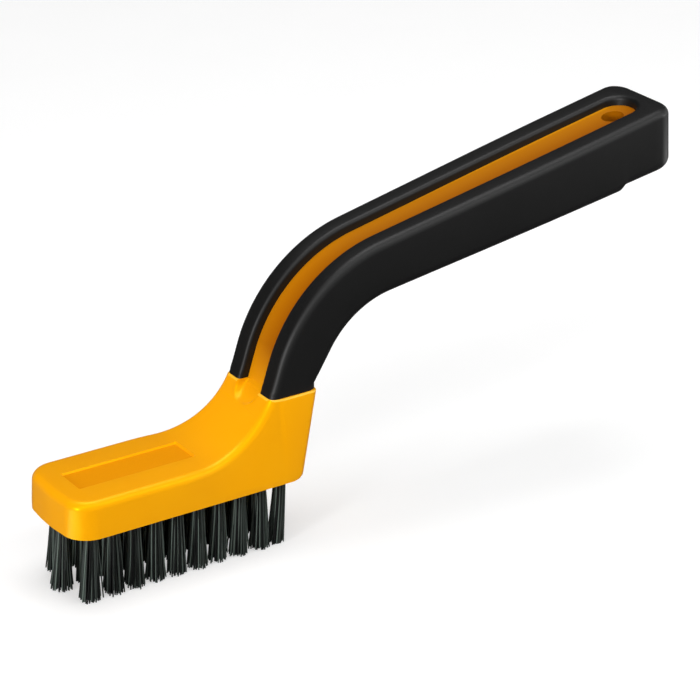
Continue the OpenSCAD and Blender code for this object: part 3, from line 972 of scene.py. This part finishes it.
# Points that the cut has left too close together would spoil the rounding
pick("VERT", lambda point: near(point.co.z, LEDGE_Z))
bpy.ops.mesh.remove_doubles(threshold=TOO_CLOSE)
ledge = round_edges(lambda edge: at_height(edge, LEDGE_Z), LEDGE_R, 4)
bpy.ops.object.mode_set(mode="OBJECT")
widest = max(abs(point.co.y) for point in moulding.data.vertices if point.co.z > LEDGE_Z - 1)
print("half width at the ledge:", round(widest, 2))
print("head and neck:", len(moulding.data.polygons), "faces,", ledge, "ledge edges rounded")

# %% [markdown]
# ## Channel end, label field, holes and core
#
# The orange floor of the channel runs down into the neck in a round end. The top of the
# head has a long shallow field, where a label would go and which is left bare. Thirty
# blind holes for the tufts are drilled from below. Each cut is made by a tool of the
# cut's own shape, because the rounded rim of the channel's end then comes out whole.

# %% Cut the pocket in the neck
POCKET_HALF, POCKET_OPEN, POCKET_STEPS = 5, 3, 24
POCKET_DEEP, POCKET_END_DEEP, POCKET_LONG = SLOT_DEEP + 0.3, 1.3, 5.5
# The pocket's wall from its floor upwards: distance outwards, and share of its depth
POCKET_WALL = [(-1.1, 1), (-0.6, 0.96), (-0.3, 0.84), (-0.14, 0.64), (-0.05, 0.42), (0.02, 0.26),
               (0.12, 0.15), (0.28, 0.06), (0.5, -0.2), (0.8, -1.2)]


def pocket_level(out, share):
    """One level of the pocket: a U that is open towards the handle, in the straight bar's frame"""
    half = POCKET_HALF + out
    turns = [90 - 180 * i / POCKET_STEPS for i in range(POCKET_STEPS + 1)]
    ring = [(POCKET_OPEN, half)] + [(-half * cosd(a), half * sind(a)) for a in turns] + [(POCKET_OPEN, -half)]
    return [Vector((s, y, BAR_HIGH - share * mix(POCKET_DEEP, POCKET_END_DEEP, ease(-s / POCKET_LONG))))
            for s, y in ring]


pocket_levels = [pocket_level(out, share) for out, share in POCKET_WALL]
pocket = stack("pocket", pocket_levels)
for ring in (pocket_levels[0], pocket_levels[-1]):
    for i in range(1, len(ring) // 2 - 1):
        cut_across(ring[i], ring[-1 - i])
turn_outwards()
bend_piece(pocket, keep_width=True)
apply_boolean(moulding, pocket)
print("head with the pocket:", len(moulding.data.polygons), "faces")

# %% Cut the field
FIELD_FROM, FIELD_LONG, FIELD_HALF, FIELD_DEEP, FIELD_R, FIELD_TAPER = 7.2, 34.9, 5.15, 0.5, 0.5, 0.3
FIELD_FLOOR, FIELD_ROOM = UNDERSIDE + HEAD_HIGH - FIELD_DEEP, 1.5
FIELD_FLARE = FIELD_TAPER * FIELD_ROOM / FIELD_DEEP
field = block("field", (NOSE_X + FIELD_FROM + FIELD_TAPER, FIELD_TAPER - FIELD_HALF, FIELD_FLOOR),
              (NOSE_X + FIELD_FROM + FIELD_LONG - FIELD_TAPER, FIELD_HALF - FIELD_TAPER,
               FIELD_FLOOR + FIELD_ROOM))
round_edges(upright, FIELD_R, 4)
pick("VERT", lambda point: near(point.co.z, FIELD_FLOOR + FIELD_ROOM))
bpy.ops.transform.resize(value=(1 + 2 * FIELD_FLARE / (FIELD_LONG - 2 * FIELD_TAPER),
                                1 + FIELD_FLARE / (FIELD_HALF - FIELD_TAPER), 1))
apply_boolean(moulding, field)
print("field:", FIELD_LONG, "by", 2 * FIELD_HALF, "by", FIELD_DEEP, "mm")

# %% Tuft places and holes
ROWS = {"left": -9.3, "centre": 0, "right": 9.3}
TUFT_PITCH, TUFTS, ORIGIN_TUFT = 6.45, 10, 6
HOLE_R, HOLE_DEEP, HOLE_SIDES = 1.8, 7.5, 24


def tuft_x(row, i):
    """Place along the head of tuft i of a row, where tuft 1 is the nearest to the nose"""
    return (i - ORIGIN_TUFT + (0 if row == "centre" else 0.5)) * TUFT_PITCH


TUFT_PLACES = {f"tuft_{row}_{i:02d}": (tuft_x(row, i), y)
               for row, y in ROWS.items() for i in range(1, TUFTS + 1)}
only(floor)
floor.select_set(False)
drills = []
for x, y in TUFT_PLACES.values():
    bpy.ops.mesh.primitive_cylinder_add(vertices=HOLE_SIDES, radius=HOLE_R, depth=HOLE_DEEP + OVER,
                                        location=(x, y, UNDERSIDE + (HOLE_DEEP - OVER) / 2))
    drills.append(bpy.context.object)
for drill in drills:
    drill.select_set(True)
bpy.ops.object.join()
drill = bpy.context.object
drill.data.transform(drill.matrix_world)
drill.matrix_world = Matrix()
apply_boolean(moulding, drill)
print(len(drills), "holes drilled")

# %% Core of the handle
CORE_FROM = -7.5
core = block("core", (CORE_FROM, -CORE_HALF, GRIP_WALL), (CORE_END, CORE_HALF, BAR_HIGH - SLOT_DEEP))
slice_at([s for s in SLICES if CORE_FROM < s < CORE_END])
bend_piece(core)
apply_boolean(moulding, core, "UNION")
apply_boolean(moulding, hanging_hole())
finish_piece(moulding, polypropylene, "body")

# %% Other skins on the same moulding
# From here the piece is in metres
FIELD_Z_M, LEDGE_Z_M = FIELD_FLOOR * METRE, LEDGE_Z * METRE
LEDGE_REACH_M, POCKET_CLEAR_M = 0.0008, 0.0055


def in_field(face):
    """True for the floor of the label field"""
    return face.normal.z > 0.99 and near(face.calc_center_median().z, FIELD_Z_M, 1e-5)


def on_ledge_edge(face):
    """True for the rounding along the ledge"""
    centre = face.calc_center_median()
    return (0.05 < face.normal.z < 0.97 and LEDGE_Z_M - LEDGE_R * METRE < centre.z < LEDGE_Z_M
            and all(point.co.z > LEDGE_Z_M - LEDGE_REACH_M for point in face.verts)
            and abs(centre.y) > POCKET_CLEAR_M)


bpy.ops.object.mode_set(mode="EDIT")
# The field's floor gets its own material, and the ledge's rounding the one with the painted highlight
for skin, test in ((field_skin, in_field), (ledge_highlight_skin, on_ledge_edge)):
    moulding.data.materials.append(skin)
    print(skin.name, "on", pick("FACE", test), "faces")
    moulding.active_material_index = len(moulding.data.materials) - 1
    bpy.ops.object.material_slot_assign()
bpy.ops.object.mode_set(mode="OBJECT")

# %% [markdown]
# ## Tufts
#
# A tuft is a bundle of stiff strands, folded in its hole and splayed at the free end.
# Blender's hair could draw it, but the export needs meshes. So one strand is modelled,
# with five sides and a few joints along its length. Each bundle holds copies of it, set
# out like the seeds of a sunflower so that they fill the hole evenly. Each copy leans
# outwards by its own amount, bows a little and is cut a little short.

# %% One strand
STRAND_R, STRAND_SIDES, JOINTS = 0.2, 5, 9
only(floor)
bpy.ops.mesh.primitive_circle_add(vertices=STRAND_SIDES, radius=STRAND_R, fill_type="NGON")
strand = bpy.context.object
strand.name = "strand"
bpy.ops.object.mode_set(mode="EDIT")
bpy.ops.mesh.select_all(action="SELECT")
for _ in range(JOINTS):
    bpy.ops.mesh.extrude_region_move(TRANSFORM_OT_translate={"value": (0, 0, 1 / JOINTS)})
turn_outwards()
bpy.ops.object.mode_set(mode="OBJECT")
print("one strand has", len(strand.data.polygons), "faces")

# %% A copy of the strand
STRAND_IN_HOLE, SWING_POWER = 3, 1.25
STRAND_TOP = UNDERSIDE + STRAND_IN_HOLE


def strand_copy(x, y, lean, bow, tip):
    """A copy of the strand from its root to its tip, bowed on the way"""
    copy = bpy.data.objects.new("strand_copy", strand.data.copy())
    bpy.context.collection.objects.link(copy)
    for point in copy.data.vertices:
        along = 1 - point.co.z
        z = mix(STRAND_TOP, tip, along)
        out = max(0, (UNDERSIDE - z) / UNDERSIDE)
        swing = out ** SWING_POWER
        point.co = (x + point.co.x + lean[0] * swing + bow[0] * out * (1 - out) * 4,
                    y + point.co.y + lean[1] * swing + bow[1] * out * (1 - out) * 4, z)
    return copy


print("strands reach", STRAND_IN_HOLE, "mm into their holes")

# %% Bundles
STRANDS = 92
ROOT_R, TIP_R = 1.58, 3.0
GOLDEN = math.pi * (3 - math.sqrt(5))
# Tufts that use has bent: how far the tip leans to the nose, and how wide it is
LEAN_TO_NOSE = 0.5
WORN = {"tuft_left_10": (1.7, 2.1), "tuft_centre_01": (1.2, 3.4), "tuft_left_01": (1, 3.2)}
# Chance in millimetres: a tuft's drift, a strand's lean, bow and shortness
DRIFT_X, DRIFT_Y = 0.25, 0.2
LEAN_CHANCE, BOW_CHANCE, SHORT_CHANCE = 0.22, 0.12, 0.45
SPLAY_LEAST, SPLAY_MOST = 0.55, 1.1
# No strand leans out past the nose
NOSE_CLEAR = 0.8
chance = random.Random(7)


def bundle(name, x, y):
    """A tuft: strands set out in a spiral, splayed by their distance from the middle"""
    copies = []
    to_nose, tip_r = WORN.get(name, (LEAN_TO_NOSE, TIP_R))
    drift = (chance.uniform(-DRIFT_X, DRIFT_X) - to_nose, chance.uniform(-DRIFT_Y, DRIFT_Y))
    for i in range(STRANDS):
        radius, turn = ROOT_R * math.sqrt((i + 0.5) / STRANDS), i * GOLDEN
        root = Vector((radius * math.cos(turn), radius * math.sin(turn)))
        lean = root * (tip_r / ROOT_R - 1) * chance.uniform(SPLAY_LEAST, SPLAY_MOST)
        lean += Vector(drift) + Vector((chance.gauss(0, LEAN_CHANCE), chance.gauss(0, LEAN_CHANCE)))
        bow = (chance.gauss(0, BOW_CHANCE), chance.gauss(0, BOW_CHANCE))
        tip = abs(chance.gauss(0, SHORT_CHANCE))
        lean[0] = max(lean[0], NOSE_X + NOSE_CLEAR - x - root[0])
        copies.append(strand_copy(x + root[0], y + root[1], lean, bow, tip))
    only(copies[0])
    for copy in copies:
        copy.select_set(True)
    bpy.ops.object.join()
    piece = bpy.context.object
    piece.name = name + "_filaments"
    return piece


for name, (x, y) in TUFT_PLACES.items():
    finish_piece(bundle(name, x, y), nylon, name, smooth_angle=80)
bpy.data.objects.remove(strand, do_unlink=True)
